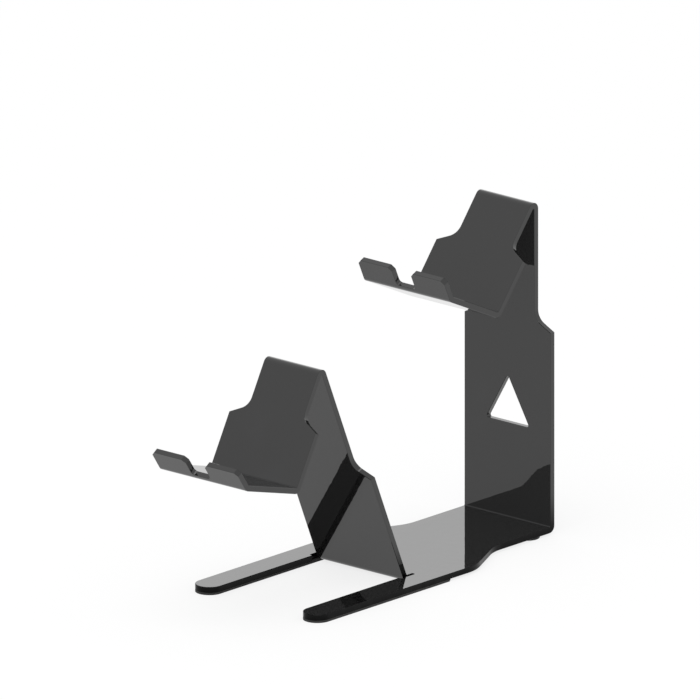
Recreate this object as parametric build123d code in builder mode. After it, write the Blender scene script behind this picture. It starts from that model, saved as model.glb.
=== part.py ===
# Two-tier stand for two game controllers, folded from one sheet of gloss black plastic.
# One strip runs from the base up a rear plate, folds over at the top and comes forward as the upper holder.
# A tongue cut free between the two prongs of the base rises as an arm and ends in the lower holder.
# Rubber strips under the prongs and two round rubber feet at the back carry it.
# Millimetres, -Y is the front where the holders open, +Z is up.
# The origin is the middle of the stand's plan, on the surface that it stands on.

from build123d import *
from math import cos, isclose, radians, sin, sqrt, tan
import os

# Sheet
sheet_thickness = 2.5
inner_bend_radius = 0.5
edge_bevel = 0.15

# Base, its lengths measured forward from the front face of the rear plate
strip_width = 48.0
base_width = 72.0
prong_reach = 159.5
flare_start = 36.0
flare_length = 24.0
flare_round = 20.0
arm_crease = 90.4
relief_width = 1.6
relief_ahead = 5.2
relief_behind = 3.4

# Rear plate and arm, their heights measured from the top face of the base
upper_fold_height = 138.0
lower_fold_height = 95.5
arm_lean = 23.0
neck_width = 30.0
neck_round = 6.0
leg_shoulder = 53.5
support_shoulder = 25.0
shoulder_slope = 26.5

# Window in the rear plate
window_side = 24.0
window_sill = 41.0
window_corner_round = 0.8

# Holders, their lengths measured on the outer face, from bend to bend
support_length = 51.2
shelf_depth = 34.1
tab_length = 10.8
support_to_shelf_angle = 103.8
shelf_to_tab_angle = 139.0
upper_support_angle = 38.8
lower_support_angle = 28.8
tab_gap = 10.4
tab_gap_depth = 8.8
tab_gap_round = 1.5
tab_chamfer = 1.8

# Rubber strips and feet
rubber_thickness = 1.0
strip_end = 76.5
strip_end_bevel = 0.7
foot_diameter = 10.4
foot_bevel = 0.2
foot_side_margin = 0.3
foot_setback = 8.4

# Sizes and angles that follow from those above
quarter_turn = 90.0
half_turn = 2 * quarter_turn
outer_bend_radius = inner_bend_radius + sheet_thickness
cut_reach = 2 * sheet_thickness
prong_width = (base_width - strip_width) / 2
prong_middle = (base_width + strip_width) / 4
prong_centre = prong_reach - prong_width / 2
shoulder_rise = (strip_width - neck_width) / 2 * tan(radians(shoulder_slope))
arm_heading = quarter_turn + arm_lean
arm_half_turn = radians(quarter_turn - arm_lean) / 2
slot_end = arm_crease - inner_bend_radius * tan(arm_half_turn)
window_reach = window_side / sqrt(3)


def travel(start, heading, distance):
    """Point in the side view, reached from start along a heading in degrees, 0 to the back and 90 up."""
    return (start[0] + distance * cos(radians(heading)), start[1] + distance * sin(radians(heading)))


def holder_headings(support_angle):
    """Headings of back support, shelf and tab, going down from the fold and forward."""
    support = half_turn + quarter_turn - support_angle
    shelf = support - (half_turn - support_to_shelf_angle)
    tab = shelf - (half_turn - shelf_to_tab_angle)
    return support, shelf, tab


def holder_corners(fold, support_angle):
    """Sharp corners of a holder's outer face after its fold: rear corner, front bend and tab tip."""
    support, shelf, tab = holder_headings(support_angle)
    rear_corner = travel(fold, support, support_length)
    front_bend = travel(rear_corner, shelf, shelf_depth)
    return rear_corner, front_bend, travel(front_bend, tab, tab_length)


# Side view, in (Y, Z) from the crease where the front of the plate meets the top of the base
plate_foot = (0.0, 0.0)
upper_fold = (0.0, upper_fold_height)
upper_corners = holder_corners(upper_fold, upper_support_angle)

arm_foot = (-arm_crease - sheet_thickness * tan(arm_half_turn), -sheet_thickness)
arm_length = (lower_fold_height + sheet_thickness) / cos(radians(arm_lean))
lower_fold = travel(arm_foot, arm_heading, arm_length)
lower_corners = holder_corners(lower_fold, lower_support_angle)

# The crease is set back so that the foremost edge of the lower tabs and the back of the plate are equally
# far from the origin
lower_tab_heading = holder_headings(lower_support_angle)[-1]
foremost = travel(lower_corners[-1], lower_tab_heading + half_turn, edge_bevel)
crease_y = (-foremost[0] - sheet_thickness) / 2
crease_z = rubber_thickness + sheet_thickness

side_view = Plane(origin=(0, crease_y, crease_z), x_dir=(0, 1, 0), z_dir=(1, 0, 0))
sheet_underside = Plane(origin=(0, crease_y, rubber_thickness))
ground = Plane(origin=(0, crease_y, 0))


def sheet_face(point, heading, body_turn):
    """Plane on the sheet's outer face at a side-view point, Y along the heading and Z into the sheet."""
    inward = heading + body_turn
    return Plane(
        origin=(0, crease_y + point[0], crease_z + point[1]),
        x_dir=(body_turn / quarter_turn, 0, 0),
        z_dir=(0, cos(radians(inward)), sin(radians(inward))),
    )


def outline_edges(sheet):
    """Edges all round a folded sheet's broad faces, without bend seams and corners through the sheet."""
    neighbours = {}
    for face in sheet.faces():
        for edge in face.edges():
            neighbours.setdefault(edge, []).append(face)
    outline = []
    for edge, (face, next_face) in neighbours.items():
        middle = edge @ 0.5
        is_seam = face.normal_at(middle).get_angle(next_face.normal_at(middle)) < quarter_turn / 2
        is_through = edge.geom_type == GeomType.LINE and isclose(edge.length, sheet_thickness)
        if not (is_seam or is_through):
            outline.append(edge)
    return outline


# Each tier: its fold, the heading of the plate or arm that carries it, its support's angle and its corners
tiers = [
    (upper_fold, quarter_turn, upper_support_angle, upper_corners),
    (lower_fold, arm_heading, lower_support_angle, lower_corners),
]

with BuildPart() as folded_stand:
    # Flat base with its flared front and two round-ended prongs
    with BuildSketch(sheet_underside) as base_plan:
        with BuildLine() as base_outline:
            flank = FilletPolyline(
                (strip_width / 2, -inner_bend_radius),
                (strip_width / 2, -flare_start),
                (base_width / 2, -flare_start - flare_length),
                (base_width / 2, -prong_centre),
                radius=flare_round,
            )
            prong_foremost = (prong_middle, -prong_reach)
            prong_tip = ThreePointArc(flank @ 1, prong_foremost, (strip_width / 2, -prong_centre))
            Polyline(prong_tip @ 1, (strip_width / 2, -slot_end), (0, -slot_end))
            Line((0, -inner_bend_radius), flank @ 0)
            mirror(about=Plane.YZ)
        make_face()
        # Relief slots beside the arm's bend, round in their outer corners
        for side in (-1, 1):
            with BuildSketch(mode=Mode.PRIVATE) as relief:
                with Locations((side * (strip_width + relief_width) / 2, -arm_crease - relief_ahead)):
                    Rectangle(relief_width, relief_ahead + relief_behind, align=(Align.CENTER, Align.MIN))
                fillet(relief.vertices().sort_by(Axis.X)[::side][2:], relief_width / 2)
            add(relief.sketch, mode=Mode.SUBTRACT)
    extrude(amount=sheet_thickness)

    # Strip of the base, the rear plate and the upper holder
    with BuildSketch(side_view) as upper_profile:
        with BuildLine() as upper_path:
            FilletPolyline(
                (-flare_start, 0),
                plate_foot,
                upper_fold,
                *upper_corners,
                radius=[inner_bend_radius, inner_bend_radius, outer_bend_radius, outer_bend_radius],
            )
            offset(amount=sheet_thickness, side=Side.RIGHT)
        make_face()
    extrude(amount=strip_width / 2, both=True)

    # Arm and lower holder
    with BuildSketch(side_view) as lower_profile:
        with BuildLine() as lower_path:
            FilletPolyline(
                (-arm_crease + relief_behind, -sheet_thickness),
                arm_foot,
                lower_fold,
                *lower_corners,
                radius=[outer_bend_radius, inner_bend_radius, outer_bend_radius, outer_bend_radius],
            )
            offset(amount=sheet_thickness, side=Side.RIGHT)
        make_face()
    extrude(amount=strip_width / 2, both=True)

    for fold, leg_heading, support_angle, corners in tiers:
        support_heading, shelf_heading, tab_heading = holder_headings(support_angle)

        # Neck: above sloping shoulders the plate or arm and the back support narrow towards the fold
        leg_face = sheet_face(fold, leg_heading + half_turn, quarter_turn)
        support_face = sheet_face(fold, support_heading, -quarter_turn)
        for face, shoulder in ((leg_face, leg_shoulder), (support_face, support_shoulder)):
            with BuildSketch(face) as beside_neck:
                with BuildLine() as neck_outline:
                    neck_edge = FilletPolyline(
                        (neck_width / 2, -outer_bend_radius),
                        (neck_width / 2, shoulder - shoulder_rise),
                        (strip_width / 2, shoulder),
                        radius=neck_round,
                    )
                    Polyline(neck_edge @ 1, (strip_width / 2, -outer_bend_radius), neck_edge @ 0)
                make_face()
                mirror(about=Plane.YZ)
            extrude(amount=cut_reach, both=True, mode=Mode.SUBTRACT)

        # The fold's own bend has the neck's width
        half_fold = (leg_heading + half_turn - support_heading) / 2
        to_bend_centre = inner_bend_radius / sin(radians(half_fold))
        bend_centre = travel(fold, support_heading + half_fold, to_bend_centre)
        for side in (-1, 1):
            with BuildSketch(side_view.offset(side * neck_width / 2)) as beside_fold:
                with Locations(bend_centre):
                    Circle(outer_bend_radius)
            extrude(amount=side * (strip_width - neck_width) / 2, mode=Mode.SUBTRACT)

        # Two tabs with chamfered corners and a gap between them
        with BuildSketch(sheet_face(corners[1], tab_heading, -quarter_turn)) as tab_waste:
            with Locations((0, tab_length - tab_gap_depth)):
                Rectangle(tab_gap, tab_gap_depth + tab_chamfer, align=(Align.CENTER, Align.MIN))
            fillet(tab_waste.vertices().group_by(Axis.Y)[0], tab_gap_round)
            tab_sides = (-strip_width / 2, -tab_gap / 2, tab_gap / 2, strip_width / 2)
            with Locations([(tab_side, tab_length) for tab_side in tab_sides]):
                Rectangle(sqrt(2) * tab_chamfer, sqrt(2) * tab_chamfer, rotation=45)
        extrude(amount=cut_reach, both=True, mode=Mode.SUBTRACT)

    # Triangular window, point up
    with BuildSketch(sheet_face(plate_foot, quarter_turn, -quarter_turn)) as window:
        with Locations((0, window_sill + window_reach / 2)):
            RegularPolygon(window_reach, 3, rotation=quarter_turn)
        fillet(window.vertices(), window_corner_round)
    extrude(amount=cut_reach, both=True, mode=Mode.SUBTRACT)

    # The cut edges are eased
    chamfer(outline_edges(folded_stand), edge_bevel)

folded_stand.part.label = "folded_stand"

# Rubber strips stuck under the prongs, with the prongs' outline and a bevelled rear end
prong_pads = []
for name, side in (("left_prong_pad", 1), ("right_prong_pad", -1)):
    with BuildPart() as prong_pad:
        with BuildSketch(ground) as pad_plan:
            with Locations((side * prong_middle, -prong_centre)):
                Circle(prong_width / 2)
                Rectangle(prong_width, prong_centre - strip_end, align=(Align.CENTER, Align.MIN))
        extrude(amount=rubber_thickness)
        rear_end = prong_pad.faces().sort_by(Axis.Y)[-1]
        chamfer(rear_end.edges().sort_by(Axis.Z)[0], strip_end_bevel)
    prong_pad.part.label = name
    prong_pads.append(prong_pad)

# Round rubber feet under the rear corners of the base
foot_centre_x = strip_width / 2 - foot_side_margin - foot_diameter / 2
rear_feet = []
for name, side in (("left_rear_foot", 1), ("right_rear_foot", -1)):
    with BuildPart() as rear_foot:
        with BuildSketch(ground) as foot_plan:
            with Locations((side * foot_centre_x, -foot_setback)):
                Circle(foot_diameter / 2)
        extrude(amount=rubber_thickness)
        chamfer(rear_foot.edges().group_by(Axis.Z)[0], foot_bevel)
    rear_foot.part.label = name
    rear_feet.append(rear_foot)

os.makedirs("parts", exist_ok=True)
for piece in (folded_stand, *prong_pads, *rear_feet):
    export_step(piece.part, f"parts/{piece.part.label}.step")
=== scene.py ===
"""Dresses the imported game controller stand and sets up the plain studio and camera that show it.

The stand is one folded sheet of gloss black plastic on rubber strips and feet. Its shapes come from the
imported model. This script gives each piece its finish. Lengths are metres and angles are degrees.
"""

from __future__ import annotations

import logging
import math
from dataclasses import dataclass, replace
from enum import Enum
from functools import cached_property
from typing import Any

import bpy
import numpy as np
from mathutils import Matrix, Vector
from mathutils.bvhtree import BVHTree

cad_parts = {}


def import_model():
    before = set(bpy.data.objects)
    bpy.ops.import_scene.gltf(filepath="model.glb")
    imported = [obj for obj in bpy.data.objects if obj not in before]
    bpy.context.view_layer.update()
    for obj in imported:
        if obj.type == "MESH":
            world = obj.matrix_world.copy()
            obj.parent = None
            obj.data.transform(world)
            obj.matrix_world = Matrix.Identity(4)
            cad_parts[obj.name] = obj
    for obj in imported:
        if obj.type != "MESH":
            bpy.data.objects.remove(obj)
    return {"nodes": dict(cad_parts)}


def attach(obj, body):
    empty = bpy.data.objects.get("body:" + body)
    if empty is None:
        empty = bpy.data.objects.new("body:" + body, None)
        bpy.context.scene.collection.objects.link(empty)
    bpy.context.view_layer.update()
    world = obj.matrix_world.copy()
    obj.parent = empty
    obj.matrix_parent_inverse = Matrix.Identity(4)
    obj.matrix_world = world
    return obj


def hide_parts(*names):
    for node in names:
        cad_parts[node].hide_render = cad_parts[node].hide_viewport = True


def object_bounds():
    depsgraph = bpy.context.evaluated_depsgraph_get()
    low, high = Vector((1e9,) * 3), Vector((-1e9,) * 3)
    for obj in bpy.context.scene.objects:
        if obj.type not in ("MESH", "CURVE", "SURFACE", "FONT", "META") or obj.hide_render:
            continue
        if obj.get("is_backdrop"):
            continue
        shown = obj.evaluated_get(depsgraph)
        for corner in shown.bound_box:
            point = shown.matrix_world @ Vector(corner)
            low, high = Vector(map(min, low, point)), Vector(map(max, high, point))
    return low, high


log = logging.getLogger("controller_stand")

MILLIMETRE = 0.001
Colour = tuple[float, float, float]
Band = tuple[float, float]


class Grain(Enum):
    """How fine a pattern is, as its cells to the metre."""

    HANDLING = 28.0
    ROLLED_SHEET = 240.0
    DUST = 900.0
    TOOL_MARKS = 1500.0
    MOULDED = 2600.0


class SheetFace(Enum):
    """Which finish a face of the sheet has, as its place among the sheet's materials."""

    BROAD = 0
    CUT_SIDE = 1
    INNER_BEND = 2


class Graph:
    """The nodes of one material or of the world."""

    # Places of the two colours that a Mix node takes, and of the colour that it gives.
    first_colour, second_colour, mixed_colour = 6, 7, 2

    def __init__(self, tree: bpy.types.NodeTree) -> None:
        """Starts an empty graph.

        Args:
            tree: The node tree to fill. Nodes that it already holds are removed.
        """
        self.tree = tree
        tree.nodes.clear()

    def node(
        self, kind: str, settings: dict[str, Any] | None = None, values: dict[str | int, Any] | None = None
    ) -> bpy.types.Node:
        """Makes one node.

        Args:
            kind: Blender's type name of the node.
            settings: Properties of the node, set before its sockets.
            values: A constant or a link for each input, by the input's name or place.

        Returns:
            The node.
        """
        made = self.tree.nodes.new(kind)
        for name, setting in (settings or {}).items():
            setattr(made, name, setting)
        for key, value in (values or {}).items():
            socket = made.inputs[key]
            if isinstance(value, Number):
                value = value.socket
            if isinstance(value, bpy.types.NodeSocket):
                self.tree.links.new(value, socket)
            else:
                socket.default_value = value
        return made

    def number(self, node: bpy.types.Node, output: str | int = 0) -> Number:
        """One output of a node as a number that expressions can use.

        Args:
            node: The node.
            output: The output's name or place.

        Returns:
            The number.
        """
        return Number(self, node.outputs[output])

    @cached_property
    def place(self) -> bpy.types.NodeSocket:
        """Where a point of the surface is, in Object coordinates."""
        return self.node("ShaderNodeTexCoord").outputs["Object"]

    def height(self) -> Number:
        """How high a point of the surface is above the floor."""
        return self.number(self.node("ShaderNodeSeparateXYZ", values={0: self.place}), "Z")

    def noise(self, grain: Grain, detail: float) -> Number:
        """A cloudy pattern between 0 and 1.

        Args:
            grain: How fine it is.
            detail: How many finer octaves it has.

        Returns:
            The pattern.
        """
        values = {"Vector": self.place, "Scale": grain.value, "Detail": detail}
        return self.number(self.node("ShaderNodeTexNoise", values=values))

    def two_tone(self, share: Number, plain: Colour, changed: Colour) -> bpy.types.NodeSocket:
        """A colour between two others.

        Args:
            share: How much of the changed colour shows.
            plain: The colour where share is 0.
            changed: The colour where share is 1.

        Returns:
            The colour.
        """
        values = {
            "Factor": share,
            self.first_colour: (*plain, 1.0),
            self.second_colour: (*changed, 1.0),
        }
        return self.node("ShaderNodeMix", {"data_type": "RGBA"}, values).outputs[self.mixed_colour]

    def surface(self, values: dict[str, Any]) -> bpy.types.NodeSocket:
        """A Principled shader.

        Args:
            values: A constant or a link for each input, by the input's name.

        Returns:
            The shader.
        """
        return self.node("ShaderNodeBsdfPrincipled", values=values).outputs[0]

    def bump(self, pattern: Number, depth: float) -> bpy.types.NodeSocket:
        """The surface's direction, tilted by a pattern.

        Args:
            pattern: The pattern.
            depth: How far it stands out where it is 1.

        Returns:
            The direction.
        """
        return self.node("ShaderNodeBump", values={"Height": pattern, "Distance": depth}).outputs[0]

    def blend(
        self, share: Number, first: bpy.types.NodeSocket, second: bpy.types.NodeSocket
    ) -> bpy.types.NodeSocket:
        """A shader between two others.

        Args:
            share: How much of the second shader shows.
            first: The shader where share is 0.
            second: The shader where share is 1.

        Returns:
            The shader.
        """
        return self.node("ShaderNodeMixShader", values={0: share, 1: first, 2: second}).outputs[0]

    def looked_at(self) -> Number:
        """1 where the camera, a reflection or clear material looks, and 0 where light only falls."""
        path = self.node("ShaderNodeLightPath")
        camera = self.number(path, "Is Camera Ray")
        glossy = self.number(path, "Is Glossy Ray")
        clear = self.number(path, "Is Transmission Ray")
        return camera.larger(glossy).larger(clear)


@dataclass(frozen=True)
class Number:
    """A number that changes over a surface. Arithmetic on it adds Math nodes."""

    graph: Graph
    socket: bpy.types.NodeSocket

    def _math(self, operation: str, *terms: Number | float) -> Number:
        """Adds one Math node.

        Args:
            operation: The Math node's operation.
            terms: Its inputs, in order.

        Returns:
            The node's result.
        """
        values = dict(enumerate(terms))
        return self.graph.number(self.graph.node("ShaderNodeMath", {"operation": operation}, values))

    def __add__(self, other: Number | float) -> Number:
        """This number plus another."""
        return self._math("ADD", self, other)

    __radd__ = __add__

    def __sub__(self, other: Number | float) -> Number:
        """This number less another."""
        return self._math("SUBTRACT", self, other)

    def __rsub__(self, other: Number | float) -> Number:
        """Another number less this one."""
        return self._math("SUBTRACT", other, self)

    def __mul__(self, other: Number | float) -> Number:
        """This number times another."""
        return self._math("MULTIPLY", self, other)

    __rmul__ = __mul__

    def larger(self, other: Number | float) -> Number:
        """The larger of this number and another."""
        return self._math("MAXIMUM", self, other)

    def ramp(self, low: float, high: float) -> Number:
        """Rises smoothly from 0 where this number is low to 1 where it is high.

        Args:
            low: The value that gives 0.
            high: The value that gives 1.

        Returns:
            The eased number, held between 0 and 1.
        """
        settings = {"interpolation_type": "SMOOTHSTEP"}
        node = self.graph.node("ShaderNodeMapRange", settings, {0: self, 1: low, 2: high})
        return self.graph.number(node)


@dataclass(frozen=True)
class Finish:
    """What every finish shares: it makes a material from its own shader."""

    name: str

    def material(self) -> bpy.types.Material:
        """Makes the material.

        Returns:
            The material.
        """
        material = bpy.data.materials.new(self.name)
        material.use_nodes = True
        graph = Graph(material.node_tree)
        graph.node("ShaderNodeOutputMaterial", values={"Surface": self.shader(graph)})
        return material

    def shader(self, graph: Graph) -> bpy.types.NodeSocket:
        """Adds the finish's shader to a graph.

        Args:
            graph: The graph to add it to.

        Returns:
            The shader.
        """
        raise NotImplementedError


@dataclass(frozen=True)
class GlossSheet(Finish):
    """Gloss black sheet: a mirror face with faint haze from handling, dust and a rolled sheet's ripple."""

    black: Colour = (0.008, 0.008, 0.008)
    lifted_black: Colour = (0.011, 0.011, 0.0115)
    polish: float = 0.02
    haze: float = 0.05
    haze_band: Band = (0.52, 0.72)
    dust: float = 0.12
    dust_band: Band = (0.74, 0.80)
    ripple: float = 0.000012
    refraction: float = 1.585
    shine: float = 0.5

    def shader(self, graph: Graph) -> bpy.types.NodeSocket:
        """Adds the gloss black to a graph.

        Args:
            graph: The graph to add it to.

        Returns:
            The shader.
        """
        haze = graph.noise(Grain.HANDLING, detail=4.0).ramp(*self.haze_band)
        specks = graph.noise(Grain.DUST, detail=1.0).ramp(*self.dust_band)
        return graph.surface(
            {
                "Base Color": graph.two_tone(haze.larger(specks), self.black, self.lifted_black),
                "Roughness": self.polish + self.haze * haze + self.dust * specks,
                "Normal": graph.bump(graph.noise(Grain.ROLLED_SHEET, detail=1.0), self.ripple),
                "IOR": self.refraction,
                "Specular IOR Level": self.shine,
            }
        )


@dataclass(frozen=True)
class CutEdge(Finish):
    """Cut sides of the sheet: gloss, fading towards the floor to a deeper, less shiny black that is painted
    shade, with chatter marks.
    """

    gloss: GlossSheet
    # black and scuffed_black make the deep black near the floor, which is painted shade; the scuffs vary
    # its tone at random.
    black: Colour = (0.003, 0.003, 0.003)
    scuffed_black: Colour = (0.006, 0.006, 0.006)
    roughness: float = 0.16
    scuff: float = 0.12
    scuff_band: Band = (0.45, 0.7)
    mark_depth: float = 0.000004
    # The low shine keeps the part near the floor dark: it is part of the painted shade.
    shine: float = 0.06
    # Heights over which the painted shade at the floor gives way to gloss.
    painted_shade_heights: Band = (0.0, 20.0 * MILLIMETRE)

    def shader(self, graph: Graph) -> bpy.types.NodeSocket:
        """Adds the edge's two blacks to a graph, blended by height: the deep black near the floor is
        painted shade.

        Args:
            graph: The graph to add them to.

        Returns:
            The shader.
        """
        scuffs = graph.noise(Grain.ROLLED_SHEET, detail=3.0).ramp(*self.scuff_band)
        # The deep black part is painted shade near the floor.
        painted_shade_black = graph.surface(
            {
                "Base Color": graph.two_tone(scuffs, self.black, self.scuffed_black),
                "Roughness": self.roughness + self.scuff * scuffs,
                "Normal": graph.bump(graph.noise(Grain.TOOL_MARKS, detail=1.0), self.mark_depth),
                "Specular IOR Level": self.shine,
            }
        )
        # Painted shade at the floor, full gloss from the top of the band upwards.
        return graph.blend(graph.height().ramp(*self.painted_shade_heights), painted_shade_black, self.gloss.shader(graph))


@dataclass(frozen=True)
class MouldedRubber(Finish):
    """Matte black rubber with a fine moulded grain and a trace of dust."""

    black: Colour = (0.032, 0.032, 0.032)
    dusty_black: Colour = (0.050, 0.049, 0.048)
    roughness: float = 0.62
    dust_roughness: float = 0.15
    dust_band: Band = (0.45, 0.75)
    grain_depth: float = 0.00004
    shine: float = 0.18

    def shader(self, graph: Graph) -> bpy.types.NodeSocket:
        """Adds the rubber to a graph.

        Args:
            graph: The graph to add it to.

        Returns:
            The shader.
        """
        dust = graph.noise(Grain.ROLLED_SHEET, detail=4.0).ramp(*self.dust_band)
        return graph.surface(
            {
                "Base Color": graph.two_tone(dust, self.black, self.dusty_black),
                "Roughness": self.roughness + self.dust_roughness * dust,
                "Normal": graph.bump(graph.noise(Grain.MOULDED, detail=2.0), self.grain_depth),
                "Specular IOR Level": self.shine,
            }
        )


@dataclass(frozen=True)
class PaleFloor(Finish):
    """Pale paint that takes a shadow, and is nearly white where it is looked at."""

    paint: Colour = (0.94, 0.94, 0.94)
    white: Colour = (1.0, 1.0, 1.0)
    white_share: float = 0.8

    def shader(self, graph: Graph) -> bpy.types.NodeSocket:
        """Adds the floor's paint to a graph.

        Args:
            graph: The graph to add it to.

        Returns:
            The shader.
        """
        paint = graph.node("ShaderNodeBsdfDiffuse", values={"Color": (*self.paint, 1.0)})
        white = graph.node("ShaderNodeEmission", values={"Color": (*self.white, 1.0)})
        return graph.blend(self.white_share * graph.looked_at(), paint.outputs[0], white.outputs[0])


@dataclass
class FoldedSheet:
    """The folded sheet: gloss all over, with painted shade as less shine inside its bends and as a deeper
    black on its cut sides near the floor.
    """

    node: bpy.types.Object
    deepest_bend: float = 3.0 * MILLIMETRE
    line_start: float = 0.025 * MILLIMETRE
    bend_run: float = 20.0 * MILLIMETRE
    bend_step: float = 0.2 * MILLIMETRE
    # Shine inside the bends, lowered as painted shade on the creases.
    bend_shaded_shine: float = 0.3

    def build(self) -> None:
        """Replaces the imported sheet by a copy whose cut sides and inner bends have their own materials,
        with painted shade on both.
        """
        mesh = self.node.data.copy()
        mesh.materials.clear()
        gloss = GlossSheet("gloss_sheet_finish")
        # The inner bends get a copy of the gloss with less shine: painted shade that dims the line
        # reflected in each crease.
        bend_shaded_gloss = replace(gloss, name="inner_bend_painted_shade", shine=self.bend_shaded_shine)
        for finish in (gloss, CutEdge("cut_edge_gloss_and_painted_shade", gloss), bend_shaded_gloss):
            mesh.materials.append(finish.material())
        kinds = np.full(len(mesh.polygons), SheetFace.BROAD.value, dtype=np.int32)
        kinds[self._inner_bends(mesh)] = SheetFace.INNER_BEND.value
        kinds[self._cut_sides(mesh)] = SheetFace.CUT_SIDE.value
        mesh.polygons.foreach_set("material_index", kinds)
        sheet = bpy.data.objects.new("gloss_folded_sheet", mesh)
        bpy.context.scene.collection.objects.link(sheet)
        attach(sheet, "root")
        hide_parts("folded_stand")
        log.info("%s: %d faces", sheet.name, len(mesh.polygons))

    def _inner_bends(self, mesh: bpy.types.Mesh) -> np.ndarray:
        """Finds the narrow faces inside the bends.

        Such a face is longer than bend_run across the sheet, and its corners are less than bend_step
        apart in the other two directions taken together.

        Args:
            mesh: The sheet, all triangles.

        Returns:
            For each face, whether it is inside a bend.
        """
        corners, order = np.empty(len(mesh.vertices) * 3), np.empty(len(mesh.loops), dtype=np.int32)
        mesh.vertices.foreach_get("co", corners)
        mesh.loops.foreach_get("vertex_index", order)
        across, *along = np.ptp(corners.reshape(-1, 3)[order].reshape(-1, 3, 3), axis=1).T
        return (across > self.bend_run) & (np.hypot(*along) < self.bend_step)

    def _cut_sides(self, mesh: bpy.types.Mesh) -> np.ndarray:
        """Finds the sheet's cut sides and bevels.

        A line from the middle of a face straight into the sheet leaves it again after about the sheet's
        thickness where the face is broad or bent, and farther on than deepest_bend on a bevel or a cut
        side. The line starts line_start inside, so that it doesn't meet its own face.

        Args:
            mesh: The sheet.

        Returns:
            For each face, whether it is a cut side or a bevel.
        """
        count = len(mesh.polygons)
        centres, normals = np.empty(count * 3), np.empty(count * 3)
        mesh.polygons.foreach_get("center", centres)
        mesh.polygons.foreach_get("normal", normals)
        inwards = -normals.reshape(-1, 3)
        starts = centres.reshape(-1, 3) + inwards * self.line_start
        corners = [vertex.co for vertex in mesh.vertices]
        tree = BVHTree.FromPolygons(corners, [face.vertices[:] for face in mesh.polygons])
        depths = [tree.ray_cast(Vector(start), Vector(inward))[3] for start, inward in zip(starts, inwards)]
        return np.array(depths, dtype=float) > self.deepest_bend


@dataclass
class RubberSupports:
    """The rubber strips under the prongs and the round rubber feet at the back."""

    pieces: tuple[bpy.types.Object, ...]

    def dress(self) -> None:
        """Gives every strip and foot its finish."""
        rubber = MouldedRubber("rubber_finish").material()
        for piece in self.pieces:
            piece.material_slots[0].material = rubber
            log.info("%s: %s", piece.name, rubber.name)


@dataclass(frozen=True)
class Softbox:
    """A large soft lamp that looks at a point from a direction and a distance."""

    name: str
    azimuth: float
    elevation: float
    distance: float
    width: float
    height: float
    brightness: float

    def place(self, target: Vector) -> None:
        """Adds the lamp, unseen by the camera.

        Args:
            target: The point that it looks at.
        """
        lamp = bpy.data.lights.new(self.name, "AREA")
        lamp.shape = "RECTANGLE"
        lamp.size, lamp.size_y = self.width, self.height
        lamp.energy = self.brightness * math.pi * self.width * self.height
        placed = bpy.data.objects.new(self.name, lamp)
        away = direction(self.azimuth, self.elevation)
        placed.location = target + self.distance * away
        placed.rotation_euler = away.to_track_quat("Z", "Y").to_euler()
        placed.visible_camera = False
        bpy.context.scene.collection.objects.link(placed)


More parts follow.
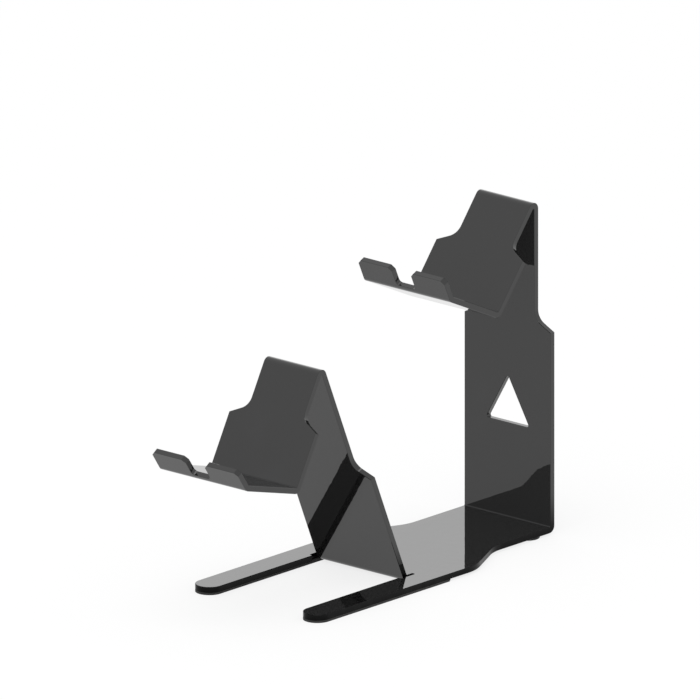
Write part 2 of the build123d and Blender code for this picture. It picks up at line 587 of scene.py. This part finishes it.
@dataclass(frozen=True)
class Studio:
    """Pale floor, white surroundings and soft lamps."""

    half_floor: float = 4.0
    ambient: float = 0.8
    surroundings: Colour = (1.0, 1.0, 1.0)
    lamps: tuple[Softbox, ...] = (
        Softbox(
            "overhead_softbox",
            azimuth=20.0,
            elevation=72.0,
            distance=1.8,
            width=1.6,
            height=1.6,
            brightness=1.6,
        ),
        Softbox(
            "back_softbox",
            azimuth=221.5,
            elevation=17.0,
            distance=1.7,
            width=1.8,
            height=0.9,
            brightness=0.55,
        ),
    )

    def build(self, target: Vector) -> None:
        """Builds the whole studio.

        Args:
            target: The point that the lamps look at.
        """
        self._world()
        self._floor()
        for lamp in self.lamps:
            lamp.place(target)
        bpy.context.scene.view_settings.view_transform = "Standard"

    def _world(self) -> None:
        """White surroundings: full white where they are looked at, softer as light."""
        world = bpy.data.worlds.new("white_surroundings")
        world.use_nodes = True
        bpy.context.scene.world = world
        graph = Graph(world.node_tree)
        strength = self.ambient + (1.0 - self.ambient) * graph.looked_at()
        values = {"Color": (*self.surroundings, 1.0), "Strength": strength}
        background = graph.node("ShaderNodeBackground", values=values)
        graph.node("ShaderNodeOutputWorld", values={"Surface": background.outputs[0]})

    def _floor(self) -> None:
        """A square floor at height 0."""
        half = self.half_floor
        corners = [(-half, -half, 0.0), (half, -half, 0.0), (half, half, 0.0), (-half, half, 0.0)]
        mesh = bpy.data.meshes.new("floor")
        mesh.from_pydata(corners, [], [(0, 1, 2, 3)])
        mesh.materials.append(PaleFloor("pale_floor").material())
        floor = bpy.data.objects.new("floor", mesh)
        bpy.context.scene.collection.objects.link(floor)
        floor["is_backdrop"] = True


@dataclass(frozen=True)
class PhotographView:
    """The photograph's camera: orthographic, from the front right and a little above."""

    azimuth: float = 41.5
    elevation: float = 17.0
    image_size: int = 700
    pixels_per_millimetre: float = 2.4
    origin_pixel: tuple[float, float] = (352.68, 575.46)
    distance: float = 1.5

    def build(self) -> None:
        """Adds the camera and makes it the scene's own.

        The stand's origin falls on origin_pixel: the camera is moved across its own view by that pixel's
        distance from the middle of the image.
        """
        data = bpy.data.cameras.new("photograph_view")
        data.type = "ORTHO"
        data.ortho_scale = self.image_size / self.pixels_per_millimetre * MILLIMETRE
        camera = bpy.data.objects.new("photograph_view", data)
        turn = direction(self.azimuth, self.elevation).to_track_quat("Z", "Y")
        middle = self.image_size / 2
        across = (middle - self.origin_pixel[0]) / self.pixels_per_millimetre * MILLIMETRE
        up = (self.origin_pixel[1] - middle) / self.pixels_per_millimetre * MILLIMETRE
        camera.location = turn @ Vector((across, up, self.distance))
        camera.rotation_euler = turn.to_euler()
        bpy.context.scene.collection.objects.link(camera)
        bpy.context.scene.camera = camera


def direction(azimuth: float, elevation: float) -> Vector:
    """Unit vector from the object towards a viewer or lamp.

    Args:
        azimuth: Degrees round the object, 0 in front and 90 on its right.
        elevation: Degrees above the horizon.

    Returns:
        The direction.
    """
    turn, rise = math.radians(azimuth), math.radians(elevation)
    return Vector((math.sin(turn) * math.cos(rise), -math.cos(turn) * math.cos(rise), math.sin(rise)))


def main() -> None:
    """Loads the frame, builds the camera and studio, and dresses the stand."""
    logging.basicConfig(level=logging.INFO, format="%(message)s")
    bpy.ops.wm.read_factory_settings(use_empty=True)
    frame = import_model()
    packed_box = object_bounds()
    PhotographView().build()
    Studio().build((packed_box[0] + packed_box[1]) / 2)
    nodes = frame["nodes"]
    FoldedSheet(nodes["folded_stand"]).build()
    rubber_nodes = ("left_prong_pad", "right_prong_pad", "left_rear_foot", "right_rear_foot")
    RubberSupports(tuple(nodes[name] for name in rubber_nodes)).dress()


if __name__ == "__main__":
    main()
